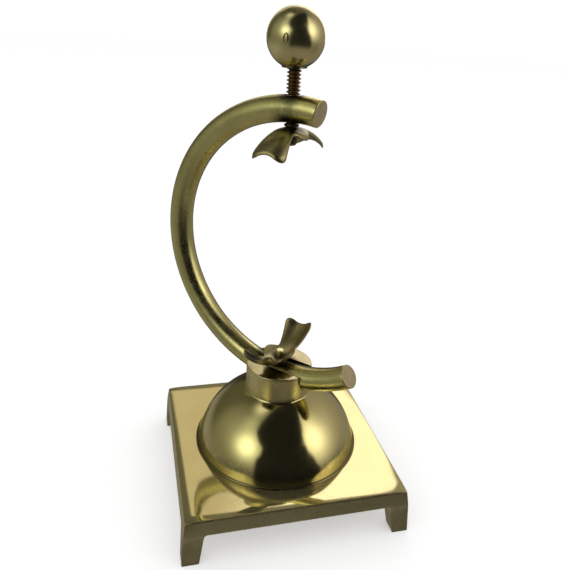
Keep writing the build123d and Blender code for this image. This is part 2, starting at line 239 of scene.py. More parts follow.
# ---- Node helpers ---------------------------------------------------------------------------
class Nodes:
    """A material's node tree with short calls for the nodes used here."""

    def __init__(self, name):
        self.material = bpy.data.materials.new(name)
        self.material.use_nodes = True
        self.tree = self.material.node_tree
        self.shader = self.tree.nodes["Principled BSDF"]
        self.place = self.add("ShaderNodeTexCoord").outputs["Object"]

    def add(self, kind, **values):
        """New node with some of its settings."""
        node = self.tree.nodes.new(kind)
        for key, value in values.items():
            setattr(node, key, value)
        return node

    def link(self, source, target):
        """Joins an output to an input."""
        self.tree.links.new(source, target)

    def stretched(self, scale, turn=(0, 0, 0)):
        """Object coordinates scaled and turned, for streaks and grain."""
        mapping = self.add("ShaderNodeMapping")
        mapping.inputs["Scale"].default_value = scale
        mapping.inputs["Rotation"].default_value = turn
        self.link(self.place, mapping.inputs["Vector"])
        return mapping.outputs["Vector"]

    def noise(self, scale, detail, rough, where=None, distortion=0.0):
        """Cloudy noise between 0 and 1; the scale counts clouds per metre."""
        node = self.add("ShaderNodeTexNoise")
        node.inputs["Scale"].default_value = scale
        node.inputs["Detail"].default_value = detail
        node.inputs["Roughness"].default_value = rough
        node.inputs["Distortion"].default_value = distortion
        self.link(where or self.place, node.inputs["Vector"])
        return node.outputs["Fac"]

    def ramp(self, value, *stops):
        """Colour or grey ramp: stops are (position, grey or colour)."""
        node = self.add("ShaderNodeValToRGB")
        elements = node.color_ramp.elements
        while len(elements) < len(stops):
            elements.new(0.5)
        for element, (position, colour) in zip(elements, stops):
            element.position = position
            grey = (colour, colour, colour)
            element.color = (*(grey if isinstance(colour, (int, float)) else colour), 1)
        self.link(value, node.inputs["Fac"])
        return node.outputs["Color"]

    def mix(self, amount, a, b):
        """Colour that goes from a to b as the amount goes from 0 to 1."""
        node = self.add("ShaderNodeMix", data_type="RGBA")
        for socket, value in ((node.inputs[0], amount), (node.inputs[6], a), (node.inputs[7], b)):
            if isinstance(value, bpy.types.NodeSocket):
                self.link(value, socket)
            elif isinstance(value, (int, float)):
                socket.default_value = value
            else:
                socket.default_value = (*value, 1)
        return node.outputs[2]

    def math(self, operation, *values):
        """Result of a sum on two or three values or outputs."""
        node = self.add("ShaderNodeMath", operation=operation)
        for socket, value in zip(node.inputs, values):
            if isinstance(value, bpy.types.NodeSocket):
                self.link(value, socket)
            else:
                socket.default_value = value
        return node.outputs[0]

    def pits(self, scale, size):
        """1 inside small scattered pits, 0 elsewhere."""
        node = self.add("ShaderNodeTexVoronoi")
        node.inputs["Scale"].default_value = scale
        self.link(self.place, node.inputs["Vector"])
        return self.ramp(node.outputs["Distance"], (0.0, 1.0), (size, 0.0))

    def near(self, point, inner, outer):
        """1 near a point in millimetres, falling to 0 with a ragged edge."""
        gap = self.add("ShaderNodeVectorMath", operation="DISTANCE")
        gap.inputs[1].default_value = Vector(point) * MM
        self.link(self.place, gap.inputs[0])
        return self.fall(gap.outputs["Value"], inner, outer)

    def below(self, low, high):
        """1 under one height in millimetres, falling to 0 at the other with a ragged edge."""
        split = self.add("ShaderNodeSeparateXYZ")
        self.link(self.place, split.inputs[0])
        return self.fall(split.outputs["Z"], low, high)

    def fall(self, value, inner, outer):
        """Smooth ragged fall from 1 to 0 between two distances in millimetres."""
        width = (outer - inner) * MM
        ragged = self.math("MULTIPLY_ADD", self.noise(260, 3, 0.6), width, -0.5 * width)
        fall = self.add("ShaderNodeMapRange", interpolation_type="SMOOTHSTEP")
        fall.inputs["From Min"].default_value = inner * MM
        fall.inputs["From Max"].default_value = outer * MM
        fall.inputs["To Min"].default_value = 1.0
        fall.inputs["To Max"].default_value = 0.0
        self.link(self.math("ADD", value, ragged), fall.inputs["Value"])
        return fall.outputs["Result"]

    def hollows(self, reach, samples, open_at):
        """1 in narrow hollows, 0 where the surface is as open as open_at; reach in metres."""
        node = self.add("ShaderNodeAmbientOcclusion")
        node.samples = samples
        node.inputs["Distance"].default_value = reach
        return self.ramp(node.outputs["AO"], (0.35, 1.0), (open_at, 0.0))

    def bump(self, height, strength, distance, below=None):
        """Surface tilt from a height, laid over another tilt where one is given."""
        node = self.add("ShaderNodeBump")
        node.inputs["Strength"].default_value = strength
        node.inputs["Distance"].default_value = distance
        self.link(height, node.inputs["Height"])
        if below is not None:
            self.link(below, node.inputs["Normal"])
        return node.outputs["Normal"]

    def finished(self, tone, metallic, roughness, normal):
        """Connects the shader and gives the material."""
        self.link(tone, self.shader.inputs["Base Color"])
        self.shader.inputs["Metallic"].default_value = metallic
        self.link(roughness, self.shader.inputs["Roughness"])
        self.link(normal, self.shader.inputs["Normal"])
        return self.material


PIT_COLOUR = (0.045, 0.035, 0.015)
HOLLOW_DARK_COLOUR = (0.06, 0.048, 0.02)
PAINTED_SHADE_COLOUR = (0.035, 0.032, 0.022)
LOW_SHADE_COLOUR = (0.06, 0.05, 0.03)
VALLEY_DARK_COLOUR = (0.035, 0.022, 0.012)


def brass(name, bright, dull, rough, grain, pitting, tarnish=0.5, shade_patches=(), scars=(),
          low_shade=(), hollow_reach=2.5, waves=0.0, film=0.0):
    """Polished or dulled brass: two tones mixed by slow noise, fine polishing lines along one
    direction, scattered pits and darker hollows. Shade patches are painted shade, dark patches
    round a point: (point, inner radius, outer radius) in millimetres; scars are patches of pits;
    low shade is painted shade, darker under a height: (low, high, amount). Waves are the slow
    unevenness that hand polishing leaves; film is the share of thin dull oxide over the metal."""
    n = Nodes(name)
    slow = n.noise(38, 5, 0.6, distortion=0.6)
    stain = n.ramp(slow, (0.5 - 0.22 * tarnish, 0.0), (0.5 + 0.25, 1.0))
    tone = n.mix(stain, bright, dull)
    lines = n.noise(520, 3, 0.5, n.stretched((1.0, 1.0, 0.045)))
    cross = n.noise(900, 2, 0.5, n.stretched((0.05, 1.0, 1.0), (0.4, 0.9, 0.2)))
    pit_where = n.noise(24, 2, 0.5)
    pit_mask = n.ramp(pit_where, (0.52, 0.0), (0.66, 1.0))
    pit = n.math("MULTIPLY", n.pits(620, 0.16), pit_mask)
    for point, inner, outer in scars:
        deep = n.math("MULTIPLY", n.pits(800, 0.30), n.near(point, inner, outer))
        pit = n.math("MAXIMUM", pit, deep)
    tone = n.mix(n.math("MULTIPLY", pit, 1.5 * pitting), tone, PIT_COLOUR)
    # Darker and rougher in narrow hollows.
    hollow_dark = n.hollows(hollow_reach * MM, 6, 0.85)
    tone = n.mix(n.math("MULTIPLY", hollow_dark, 0.6), tone, HOLLOW_DARK_COLOUR)
    # Painted shade: dark patches round given points, where parts cover each other.
    for point, inner, outer in shade_patches:
        dark = n.near(point, inner, outer)
        tone = n.mix(n.math("MULTIPLY", dark, 0.88), tone, PAINTED_SHADE_COLOUR)
    # Painted shade: darker under a given height.
    for low, high, amount in low_shade:
        tone = n.mix(n.math("MULTIPLY", n.below(low, high), amount), tone, LOW_SHADE_COLOUR)
    finger = n.noise(95, 4, 0.65, distortion=1.2)
    smear = n.ramp(finger, (0.35, 0.0), (0.7, 1.0))
    spread = n.math("MULTIPLY_ADD", smear, 0.5 * rough, 0.75 * rough)
    spread = n.math("ADD", spread, n.math("MULTIPLY", hollow_dark, 0.2))
    normal = n.bump(lines, grain, 0.00002)
    normal = n.bump(cross, grain * 0.5, 0.00001, normal)
    if waves:
        normal = n.bump(n.noise(55, 1.5, 0.5), waves, 0.0001, normal)
    normal = n.bump(n.math("MULTIPLY", pit, -1.0), 0.4 * pitting, 0.00015, normal)
    return n.finished(tone, 1.0 - film, spread, normal)


def sawn_brass(name):
    """Flat sawn and filed end of the bar: matt, tan, with fine parallel tool marks."""
    n = Nodes(name)
    marks = n.noise(1400, 2, 0.6, n.stretched((1.0, 1.0, 0.06), (0.5, 0.3, 0.2)))
    cloud = n.noise(160, 4, 0.6)
    tone = n.mix(n.ramp(cloud, (0.3, 0.0), (0.7, 1.0)), (0.62, 0.52, 0.31), (0.46, 0.38, 0.21))
    spread = n.ramp(marks, (0.3, 0.42), (0.7, 0.62))
    return n.finished(tone, 0.85, spread, n.bump(marks, 0.5, 0.00004))


def thread_bronze(name):
    """Screw thread: reddish bronze crests with darker valleys."""
    n = Nodes(name)
    cloud = n.noise(420, 4, 0.6)
    tone = n.mix(n.ramp(cloud, (0.35, 0.0), (0.65, 1.0)), (0.44, 0.25, 0.12), (0.26, 0.20, 0.10))
    valley = n.hollows(1.2 * MM, 8, 0.8)
    tone = n.mix(n.math("MULTIPLY", valley, 0.85), tone, VALLEY_DARK_COLOUR)
    spread = n.ramp(cloud, (0.3, 0.28), (0.7, 0.5))
    return n.finished(tone, 1.0, spread, n.bump(n.noise(1500, 3, 0.6), 0.35, 0.00003))


def zinc_steel(name):
    """Dull plated steel for the nut and the lock washer under the base."""
    n = Nodes(name)
    cloud = n.noise(300, 5, 0.6)
    tone = n.mix(n.ramp(cloud, (0.35, 0.0), (0.65, 1.0)), (0.46, 0.46, 0.44), (0.30, 0.29, 0.27))
    spread = n.ramp(cloud, (0.3, 0.3), (0.7, 0.55))
    return n.finished(tone, 1.0, spread, n.bump(n.noise(1600, 2, 0.5), 0.25, 0.00003))


plate_brass = brass("plate_brass", (0.93, 0.82, 0.40), (0.88, 0.76, 0.36), 0.08, grain=0.08,
                    pitting=0.5, scars=(((-32.7, -46.2, 25.6), 1.5, 7.0),), waves=0.5, film=0.04)
# Painted shade on the walls and feet, darker towards the floor.
wall_brass = brass("wall_brass", (0.92, 0.82, 0.47), (0.76, 0.68, 0.38), 0.34, grain=0.5,
                   pitting=0.25, low_shade=((9.0, 20.0, 0.42),))
# Painted shade on the dome's lower band, darker towards its foot.
dome_brass = brass("dome_brass", (0.93, 0.82, 0.38), (0.86, 0.75, 0.34), 0.13, grain=0.10,
                   pitting=0.1, low_shade=((27.0, 37.0, 0.6),))
collar_brass = brass("collar_brass", (0.88, 0.77, 0.38), (0.74, 0.64, 0.31), 0.30, grain=0.4,
                     pitting=0.5)
# A darker copy of the brass, painted shade on the collar's top face, with painted shade round its
# middle under the jaw and bar.
crown_shaded_brass = brass("crown_shaded_brass", (0.62, 0.54, 0.28), (0.48, 0.42, 0.22), 0.20, grain=0.2,
                    pitting=0.4, shade_patches=(((0, 0, 74), 6.0, 11.5),))
# Near-black brass, painted shade on the walls of the bar's channel.
channel_painted_shade = brass("channel_painted_shade", (0.10, 0.08, 0.04), (0.05, 0.04, 0.022), 0.55, grain=0.6,
                      pitting=0.6)
# Painted shade round the bottom of the ball, over the screw and the bar.
ball_brass = brass("ball_brass", (0.92, 0.82, 0.42), (0.76, 0.66, 0.33), 0.21, grain=0.35,
                   pitting=0.15, shade_patches=(((0, 0, 225), 4.5, 9.5),))
# Painted shade on the bar round the screw under the ball, on its underside over the upper jaw and
# where it meets the lower jaw.
bar_brass = brass("bar_brass", (0.90, 0.82, 0.36), (0.64, 0.58, 0.26), 0.30, grain=0.28,
                  pitting=0.5, tarnish=1.0, scars=(((-31.9, 23.3, 192.3), 1.5, 6.0),),
                  shade_patches=(((0, 0, 213.5), 4.0, 9.5), ((0, 0, 200.5), 5.0, 12.0),
                          ((-3, 3, 76), 7.0, 15.0)))
# Painted shade round the pivot and round the stud, under the bar; a dark patch on the lower jaw's
# near wing.
jaw_brass = brass("jaw_brass", (0.64, 0.56, 0.27), (0.33, 0.29, 0.14), 0.36, grain=0.7,
                  pitting=0.8, tarnish=1.2, hollow_reach=4.0,
                  shade_patches=(((0, 0, 201), 3.0, 11.0), ((0, 0, 77.5), 3.0, 6.0),
                          ((-16.5, -11.5, 82), 6.0, 10.0)))
# Near-black brass, painted shade on the hub, thrust washer and sleeve between the bar and the jaws.
painted_shade_brass = brass("painted_shade_brass", (0.16, 0.14, 0.08), (0.08, 0.07, 0.04), 0.45, grain=0.5,
                   pitting=0.5)
end_brass = sawn_brass("end_brass")
screw_bronze = thread_bronze("screw_bronze")
steel = zinc_steel("plated_steel")


# ---- Base -----------------------------------------------------------------------------------
def base_casting():
    """Cast plate with four feet: a cage of small blocks whose corners are moved to the cast
    shape and then smoothed by subdivision."""
    half = [0, 24, POCKET_HALF - 1.5, POCKET_HALF, POCKET_HALF + 1.5, LEG_INNER, LEG_INNER + 0.9,
            52.5, EDGE - 0.6, EDGE]
    lines = [-x for x in half[:0:-1]] + half
    under = BASE_TOP - PLATE_T
    roof = under + POCKET_DEPTH
    levels = [0, 0.8, 7.0, under - 3.2, under, under + 0.7, roof - 0.5, roof]
    levels += [BASE_TOP - 0.6, BASE_TOP]

    def filled(i, j, k):
        """Whether a block of the cage is metal."""
        x = abs(lines[i] + lines[i + 1]) / 2
        y = abs(lines[j] + lines[j + 1]) / 2
        z = (levels[k] + levels[k + 1]) / 2
        if z < under:
            return x > LEG_INNER and y > LEG_INNER
        if z < roof:
            return x > POCKET_HALF or y > POCKET_HALF
        return True

    def lean(z):
        """How far the outside stands beyond the top edge at a height."""
        if z > under:
            return WALL_LEAN * (BASE_TOP - z) / PLATE_T
        return WALL_LEAN + (TOE_OUT - WALL_LEAN) * (under - z) / under

    def moved(x, z):
        """Where a line of the cage stands at a height: the feet spread, the walls lean out."""
        side = 1 if x >= 0 else -1
        x = abs(x)
        if x < LEG_INNER:
            return side * x
        inner = LEG_ROOT_INNER + LEG_SPREAD * max(0.0, under - z) / under
        outer = EDGE + lean(z)
        return side * (inner + (x - LEG_INNER) / (EDGE - LEG_INNER) * (outer - inner))

    def rolled(x, start, drop):
        """The top face falls away softly from a start line to the edge."""
        t = max(0.0, (abs(x) - start) / (EDGE - start))
        return drop * t * t

    def polished_away(x, y):
        """Wide roll on the left, narrow on the other sides."""
        across = rolled(x, *LEFT_ROLL) if x < 0 else rolled(x, *RIGHT_ROLL)
        return across + rolled(y, *FRONT_BACK_ROLL)

    verts, index, faces = [], {}, []

    def vertex(i, j, k):
        """Number of the vertex at a corner of the cage, made when it is first asked for."""
        if (i, j, k) not in index:
            x, y, z = lines[i], lines[j], levels[k]
            drop = polished_away(x, y) * max(0.0, (z - roof) / (BASE_TOP - roof))
            index[i, j, k] = len(verts)
            verts.append((moved(x, z), moved(y, z), z - drop))
        return index[i, j, k]

    cells = len(lines) - 1
    tall = len(levels) - 1
    solid = {
        (i, j, k)
        for i in range(cells) for j in range(cells) for k in range(tall) if filled(i, j, k)
    }
    sides = (
        ((1, 0, 0), ((1, 0, 0), (1, 1, 0), (1, 1, 1), (1, 0, 1))),
        ((-1, 0, 0), ((0, 0, 0), (0, 0, 1), (0, 1, 1), (0, 1, 0))),
        ((0, 1, 0), ((0, 1, 0), (0, 1, 1), (1, 1, 1), (1, 1, 0))),
        ((0, -1, 0), ((0, 0, 0), (1, 0, 0), (1, 0, 1), (0, 0, 1))),
        ((0, 0, 1), ((0, 0, 1), (1, 0, 1), (1, 1, 1), (0, 1, 1))),
        ((0, 0, -1), ((0, 0, 0), (0, 1, 0), (1, 1, 0), (1, 0, 0))),
    )
    for i, j, k in sorted(solid):
        for (di, dj, dk), corners in sides:
            if (i + di, j + dj, k + dk) not in solid:
                faces.append(tuple(vertex(i + a, j + b, k + c) for a, b, c in corners))
    obj = new_object("base_casting", verts, faces, 180)
    smooth = obj.modifiers.new("smooth", "SUBSURF")
    smooth.levels = 3
    smooth.render_levels = 3
    bake_modifiers(obj)
    tidy_normals(obj, 60)
    place(obj, "frame", plate_brass, "base_brass", "base")
    obj.data.materials.append(wall_brass)
    for face in obj.data.polygons:
        face.material_index = 0 if face.normal.z > 0.55 else 1
    return obj


# ---- Dome -----------------------------------------------------------------------------------
CHANNEL_REACH = BAR_R + 0.12
CHANNEL_HALF = 7.1
CHANNEL_RISE = 16.0          # how far the cutter reaches above the bar's middle line


def in_channel(point):
    """Whether a point in millimetres lies on the wall of the bar's channel."""
    out = point - ARC_CENTRE
    radial, side = hypot(out.dot(U), out.z) - ARC_R, abs(out.dot(V))
    if radial > 0.05:
        return abs(hypot(radial, side) - CHANNEL_REACH) < 0.1
    return side < CHANNEL_HALF + 0.05 and radial > -10


def dome_turning():
    """Turned dome: foot bead, spherical cap, small cove and collar; channelled for the bar."""
    cove_r = DOME_R + DOME_COVE
    cove_rise = sqrt(cove_r**2 - (COLLAR_R + DOME_COVE) ** 2)
    cap_end = degrees(asin(cove_rise / cove_r))
    cove_z = DOME_CZ + cove_rise
    profile = [(0, BASE_TOP), (20, BASE_TOP), (DOME_FOOT_R - 0.3, BASE_TOP)]
    profile += arc(DOME_FOOT_R - 0.4, BASE_TOP + 0.4, 0.4, -80, 80, 8)
    start = degrees(asin((BASE_TOP + 1.0 - DOME_CZ) / DOME_R))
    profile += [(DOME_R * cos(radians(start)) + 0.12, BASE_TOP + 0.9)]
    profile += arc(0, DOME_CZ, DOME_R, start, cap_end - 0.2, 96)
    profile += arc(COLLAR_R + DOME_COVE, cove_z, DOME_COVE, 180 + cap_end, 180, 8)
    rise = COLLAR_TOP - 0.5 - cove_z
    profile += [(COLLAR_R, cove_z + rise * i / 10) for i in range(1, 10)]
    profile += arc(COLLAR_R - 0.5, COLLAR_TOP - 0.5, 0.5, 0, 90, 6)
    profile += [(r, COLLAR_TOP) for r in (15, 12, 9, 6, 3)] + [(0, COLLAR_TOP)]
    obj = lathe("dome_turning", profile, 288)
    for v in obj.data.vertices:
        if v.co.z > (COLLAR_TOP - 1.2) * MM:
            filed = noise.noise(Vector((v.co.x, v.co.y, 0)) / (9 * MM)) * 0.16 * MM
            v.co.z = min(v.co.z + filed, COLLAR_TOP * MM)
    cut(obj, channel_cutter())
    place(obj, "frame", dome_brass, "dome_brass", "dome")
    # The collar, its top face in a darker copy as painted shade, and the channel's walls in
    # near-black painted shade.
    for material in (collar_brass, crown_shaded_brass, channel_painted_shade):
        obj.data.materials.append(material)
    for face in obj.data.polygons:
        centre = face.center / MM
        if in_channel(centre):
            face.material_index = 3
        elif centre.z > COLLAR_TOP - 0.12:
            face.material_index = 2
        elif centre.z > cove_z - 0.4:
            face.material_index = 1
    return obj


def channel_cutter():
    """U-section swept along the bar's arc through the collar, open at the top."""
    reach, half = CHANNEL_REACH, CHANNEL_HALF
    section = [(-CHANNEL_RISE, -half), (0.0, -half), (0.0, -reach)]
    section += [(y, x) for x, y in arc(0, 0, reach, 180, 0, 40)][1:-1]
    section += [(0.0, reach), (0.0, half), (-CHANNEL_RISE, half)]
    verts = []
    steps, first, sweep = 72, -128, 76
    for s in range(steps + 1):
        angle = radians(first + sweep * s / steps)
        outward = U * cos(angle) + UP * sin(angle)
        for r, side in section:
            verts.append(ARC_CENTRE + outward * (ARC_R + r) + V * side)
    return new_object("channel_cutter", verts, ring_faces(steps + 1, len(section), True))


# ---- Bar ------------------------------------------------------------------------------------
def bent_bar():
    """Round bar along the C, with slightly uneven polish, sawn ends and the screw's countersink."""
    around, middle = 96, 230
    edge = 0.45
    start, end = UPPER_END, LOWER_END + 2 * pi
    length = (end - start) * ARC_R
    stations = [(0.0, 0.0), (0.0, BAR_R * 0.55), (0.0, BAR_R - edge)]
    stations += [(edge * (1 - cos(a)), BAR_R - edge * (1 - sin(a))) for a in (pi / 6, pi / 3)]
    stations += [(edge, BAR_R)]
    body = [(edge + (length - 2 * edge) * i / middle, BAR_R) for i in range(1, middle)]
    stations = stations + body + [(length - s, r) for s, r in reversed(stations)]
    verts = []
    for s, r in stations:
        angle = start + s / ARC_R
        outward = U * cos(angle) + UP * sin(angle)
        centre = ARC_CENTRE + outward * ARC_R
        for k in range(around):
            a = 2 * pi * k / around
            direction = outward * cos(a) + V * sin(a)
            verts.append(centre + direction * r)
    obj = new_object("bent_bar", verts, ring_faces(len(stations), around), 40)
    wander(obj, lambda at: noise.noise(at / 16) * 0.07 + noise.noise(at / 5) * 0.018)
    top = ARC_Z + sqrt(ARC_R**2 - ARC_U**2) + BAR_R
    hole_r, mouth_r, through = 3.35, 4.3, 30
    sink = [(0, top + 2), (mouth_r + 1.9, top + 2), (mouth_r, top - 0.02), (hole_r, top - 1.3),
            (hole_r, top - through), (0, top - through)]
    cut(obj, lathe("sink_cutter", sink, 64), 40)
    place(obj, "frame", bar_brass, "bar_brass", "arm")
    obj.data.materials.append(end_brass)
    for face in obj.data.polygons:
        centre = face.center / MM - ARC_CENTRE
        angle = atan2(centre.z, centre.dot(U)) % (2 * pi)
        near_end = min(abs(angle - start), abs(angle - end)) * ARC_R < 0.12
        face.material_index = 1 if near_end else 0
    return obj


# ---- Jaws -----------------------------------------------------------------------------------
def jaw_half_width(u):
    """Half width of the bow-tie outline at a distance from its middle."""
    u = abs(u)
    slope = (JAW_TIP - JAW_NECK) / JAW_LEN
    wing = JAW_NECK + slope * u
    corner = JAW_LEN - JAW_CORNER_R
    if u > corner:
        flat = JAW_NECK + slope * corner - JAW_CORNER_R
        return flat + sqrt(max(0.0, JAW_CORNER_R**2 - (u - corner) ** 2))
    disc = sqrt(max(0.0, JAW_DISC_R**2 - u * u))
    return JAW_BLEND * soft_maximum(disc / JAW_BLEND, wing / JAW_BLEND)


def soft_maximum(a, b, softness=0.45):
    """A little more than the larger of two values where they are close to each other."""
    top = max(a, b)
    return top + log(exp(a - top) + exp(b - top)) * softness


def jaw_rim_distance(u, v):
    """Distance of a point of the outline's inside from the outline."""
    u, v = abs(u), abs(v)
    corner = JAW_LEN - JAW_CORNER_R
    flat = jaw_half_width(corner) - JAW_CORNER_R
    if u <= corner:
        return jaw_half_width(u) - v
    if v <= flat:
        return JAW_LEN - u
    return JAW_CORNER_R - hypot(u - corner, v - flat)


def jaw_point(u, v, depth, far_bend):
    """Point of the dished sheet, hollow side up; depth 0 is its underside, 1 its inner side.
    The far wing can be bent less than the near one."""
    across = JAW_DISH_R + JAW_T * (1 - depth)
    radius = JAW_BEND_R - JAW_DISH_R + sqrt(across**2 - v * v)
    rise = radius - sqrt(radius**2 - u * u)
    return Vector((u, v, JAW_BEND_R + JAW_T - radius + rise * (far_bend if u > 0 else 1)))


def dished_jaw(name, matrix, hole_r, seed, far_bend):
    """Bow-tie sheet bent along its length and dished across, with rounded rims and a hole."""
    long_steps, wide_steps = 120, 40
    verts, faces = [], []
    for side in (-1, 1):
        for i in range(long_steps + 1):
            u = -JAW_LEN * cos(pi * i / long_steps)
            width = jaw_half_width(u)
            for j in range(wide_steps + 1):
                v = width * sin(pi * (j / wide_steps - 0.5))
                inside = min(JAW_RIM_R, max(0.0, jaw_rim_distance(u, v)))
                if i in (0, long_steps) or j in (0, wide_steps):
                    inside = 0.0
                half = 0.5 * sqrt(1 - (1 - inside / JAW_RIM_R) ** 2)
                verts.append(matrix @ jaw_point(u, v, 0.5 + side * half, far_bend))
    row = wide_steps + 1
    sheet = row * (long_steps + 1)
    for i in range(long_steps):
        for j in range(wide_steps):
            a = i * row + j
            faces.append((a, a + 1, a + row + 1, a + row))
            faces.append((sheet + a, sheet + a + row, sheet + a + row + 1, sheet + a + 1))
    obj = new_object(name, verts, faces, 60)
    shift = Vector((7.3, 3.1, 5.7)) * seed
    wander(obj, lambda at: noise.noise(at / 9 + shift) * 0.10)
    middle = matrix.translation.z
    hole = [(0, middle - 6), (hole_r, middle - 6), (hole_r, middle + 6), (0, middle + 6)]
    cut(obj, lathe("jaw_hole", hole, 48), 60)
    return obj


def lower_jaw_piece():
    """Fixed jaw, soldered to the stud, with its wings across the bar."""
    long_way = V
    tilt = Matrix.Rotation(-LOWER_JAW_TILT, 3, long_way)
    up = tilt @ UP
    wide = up.cross(long_way)
    matrix = axes_at(UP * LOWER_JAW_Z, long_way, wide, up)
    obj = dished_jaw("lower_jaw_sheet", matrix, STUD_R, 3, 1.0)
    return place(obj, "frame", jaw_brass, "jaw_brass", "lower_jaw")


def upper_jaw_piece():
    """Swivelling jaw on the screw's pivot, hollow side down."""
    level = Matrix.Rotation(UPPER_JAW_TURN, 3, "Z") @ V
    tilt = Matrix.Rotation(UPPER_JAW_TILT, 3, UP.cross(level))
    long_way, down = tilt @ level, tilt @ -UP
    wide = down.cross(long_way)
    matrix = axes_at(UP * (UPPER_JAW_Z - UPPER_JAW_DROP), long_way, wide, down)
    obj = dished_jaw("upper_jaw_sheet", matrix, UPPER_JAW_HOLE_R, 5, FAR_WING_BEND)
    return place(obj, "jaw", jaw_brass, "jaw_brass", "upper_jaw")


# ---- Stud end, solder and hub ---------------------------------------------------------------
def stud_piece():
    """Stud that ties base, dome, bar and fixed jaw together, its top end rounded."""
    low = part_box("tie_stud")[0].z / MM
    top = STUD_TOP
    profile = [(0, low), (STUD_R - 0.4, low), (STUD_R, low + 0.4)]
    profile += [(STUD_R, top - 3.4), (STUD_R, top - 0.55)]
    profile += arc(STUD_R - 0.5, top - 0.5, 0.5, 5, 85, 5)
    profile += [(1.2, top), (0.6, top), (0, top)]
    obj = lathe("stud_turning", profile, 64)
    return place(obj, "frame", ball_brass, "screw_brass", "tie_stud")


def solder_fillet():
    """Ring of solder round the stud on the fixed jaw's inner side."""
    verts, faces = [], []
    around, steps = 72, 8
    solder_wide, solder_high = 1.25, 0.75
    for i in range(around):
        a = 2 * pi * i / around
        swell = 1.0 + 0.28 * noise.noise(Vector((cos(a) * 1.3, sin(a) * 1.3, 4.2)))
        wide = solder_wide * swell
        high = solder_high * swell
        for s in range(steps + 1):
            t = s / steps
            r = STUD_R - 0.1 + wide * t
            base_z = LOWER_JAW_Z + JAW_T + r * r / (2 * JAW_DISH_R) * sin(a + pi / 4) ** 2 - 0.15
            verts.append((r * cos(a), r * sin(a), base_z + high * (1 - t) ** 1.8 + 0.12 * (1 - t)))
        verts.append((STUD_R * cos(a), STUD_R * sin(a), LOWER_JAW_Z + 0.6))
    row = steps + 2
    for i in range(around):
        j = (i + 1) % around
        for s in range(row):
            t = (s + 1) % row
            faces.append((i * row + s, j * row + s, j * row + t, i * row + t))
    obj = new_object("jaw_solder", verts, faces, 60)
    return place(obj, "frame", bar_brass, "jaw_brass")


# ---- Ball and pin ---------------------------------------------------------------------------
def ball_turning():
    """Ball with a small lip below and the shallow oval seat of the cross pin."""
    lip_angle = degrees(acos(BALL_LIP_R / BALL_R))
    lip_top = BALL_Z - BALL_R * sin(radians(lip_angle))
    profile = [(0, BALL_LIP_Z + 1.6), (2.6, BALL_LIP_Z + 1.6), (3.45, BALL_LIP_Z + 0.5)]
    profile += [(3.9, BALL_LIP_Z + 0.12), (4.6, BALL_LIP_Z + 0.05), (BALL_LIP_R - 0.25, BALL_LIP_Z)]
    profile += arc(BALL_LIP_R - 0.2, BALL_LIP_Z + 0.25, 0.22, -80, 50, 5)
    profile += [(BALL_LIP_R - 0.1, lip_top - 0.02)]
    profile += arc(0, BALL_Z, BALL_R, -lip_angle + 0.8, 89.2, 110) + [(0, BALL_Z + BALL_R)]
    obj = lathe("ball_turning", profile, 192)
    cut(obj, oval_plug("pin_seat", 1.25, 2.15, BALL_R - 0.55, BALL_R + 2))
    return place(obj, "screw", ball_brass, "ball_brass", "ball_knob")


def oval_plug(name, half_wide, half_tall, inner, outer, dome=0.0):
    """Oval column along the cross pin, its outer end domed where a dome height is given."""
    side = UP.cross(PIN_WAY)
    rings = [(inner, 1.0), (outer - dome, 1.0)]
    if dome:
        rings += [(outer - dome * (1 - sin(a)), cos(a)) for a in (0.4, 0.8, 1.15, 1.4)]
    verts = []
    around = 48
    for reach, scale in rings:
        for k in range(around):
            a = 2 * pi * k / around
            verts.append(PIN_WAY * reach + UP * BALL_Z + side * cos(a) * half_wide * scale
                         + UP * sin(a) * half_tall * scale)
    return new_object(name, verts, ring_faces(len(rings), around, True))


def pin_piece():
    """Cross pin through the ball into the screw, whose end shows as an oval."""
    obj = oval_plug("pin_end", 1.0, 1.85, 1.2, BALL_R - 0.12, 0.3)
    return place(obj, "screw", bar_brass, "ball_brass", "knob_pin")


# ---- Screw ----------------------------------------------------------------------------------
def screw_piece():
    """Screw with a true helical thread between its shoulder and the ball."""
    low = UPPER_JAW_Z + 1.0
    high = BALL_LIP_Z + 0.7
    around, per_turn = 72, 20
    count = int((high - low) / PITCH * per_turn)
    angles = [2 * pi * k / around for k in range(around)]
    root = SCREW_R - THREAD_DEPTH

    def thread_radius(z, a):
        """Radius of the thread at a height and an angle, fading out at both ends."""
        phase = ((z - low) / PITCH - a / (2 * pi)) % 1.0
        wave = abs(2 * phase - 1)
        form = min(1.0, max(0.0, (wave - THREAD_FLAT) / (1 - 2 * THREAD_FLAT)))
        form = step(0, 1, form) * THREAD_ROUNDING + form * (1 - THREAD_ROUNDING)
        fade = min(1.0, (z - low) / 1.2, (high - z) / 0.8 + 0.3)
        return root + (SCREW_R - root) * form * max(0.0, fade)

    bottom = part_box("spindle")[0].z / MM
    rivet_r, pivot_r = 2.75, 2.15
    rivet = [(bottom, 0.0), (bottom, 1.5), (bottom + 0.25, 2.3), (bottom + 0.8, rivet_r)]
    rivet += [(bottom + 1.2, rivet_r), (bottom + 1.2, pivot_r), (low, pivot_r)]
    rings = [(z, [r] * around) for z, r in rivet]
    for i in range(count + 1):
        z = low + (high - low) * i / count
        rings.append((z, [thread_radius(z, a) for a in angles]))
    rings.append((high, [0.0] * around))
    verts = [(r * cos(a), r * sin(a), z) for z, radii in rings for a, r in zip(angles, radii)]
    obj = new_object("screw_thread", verts, ring_faces(len(rings), around), 50)
    return place(obj, "screw", screw_bronze, "screw_brass", "spindle")


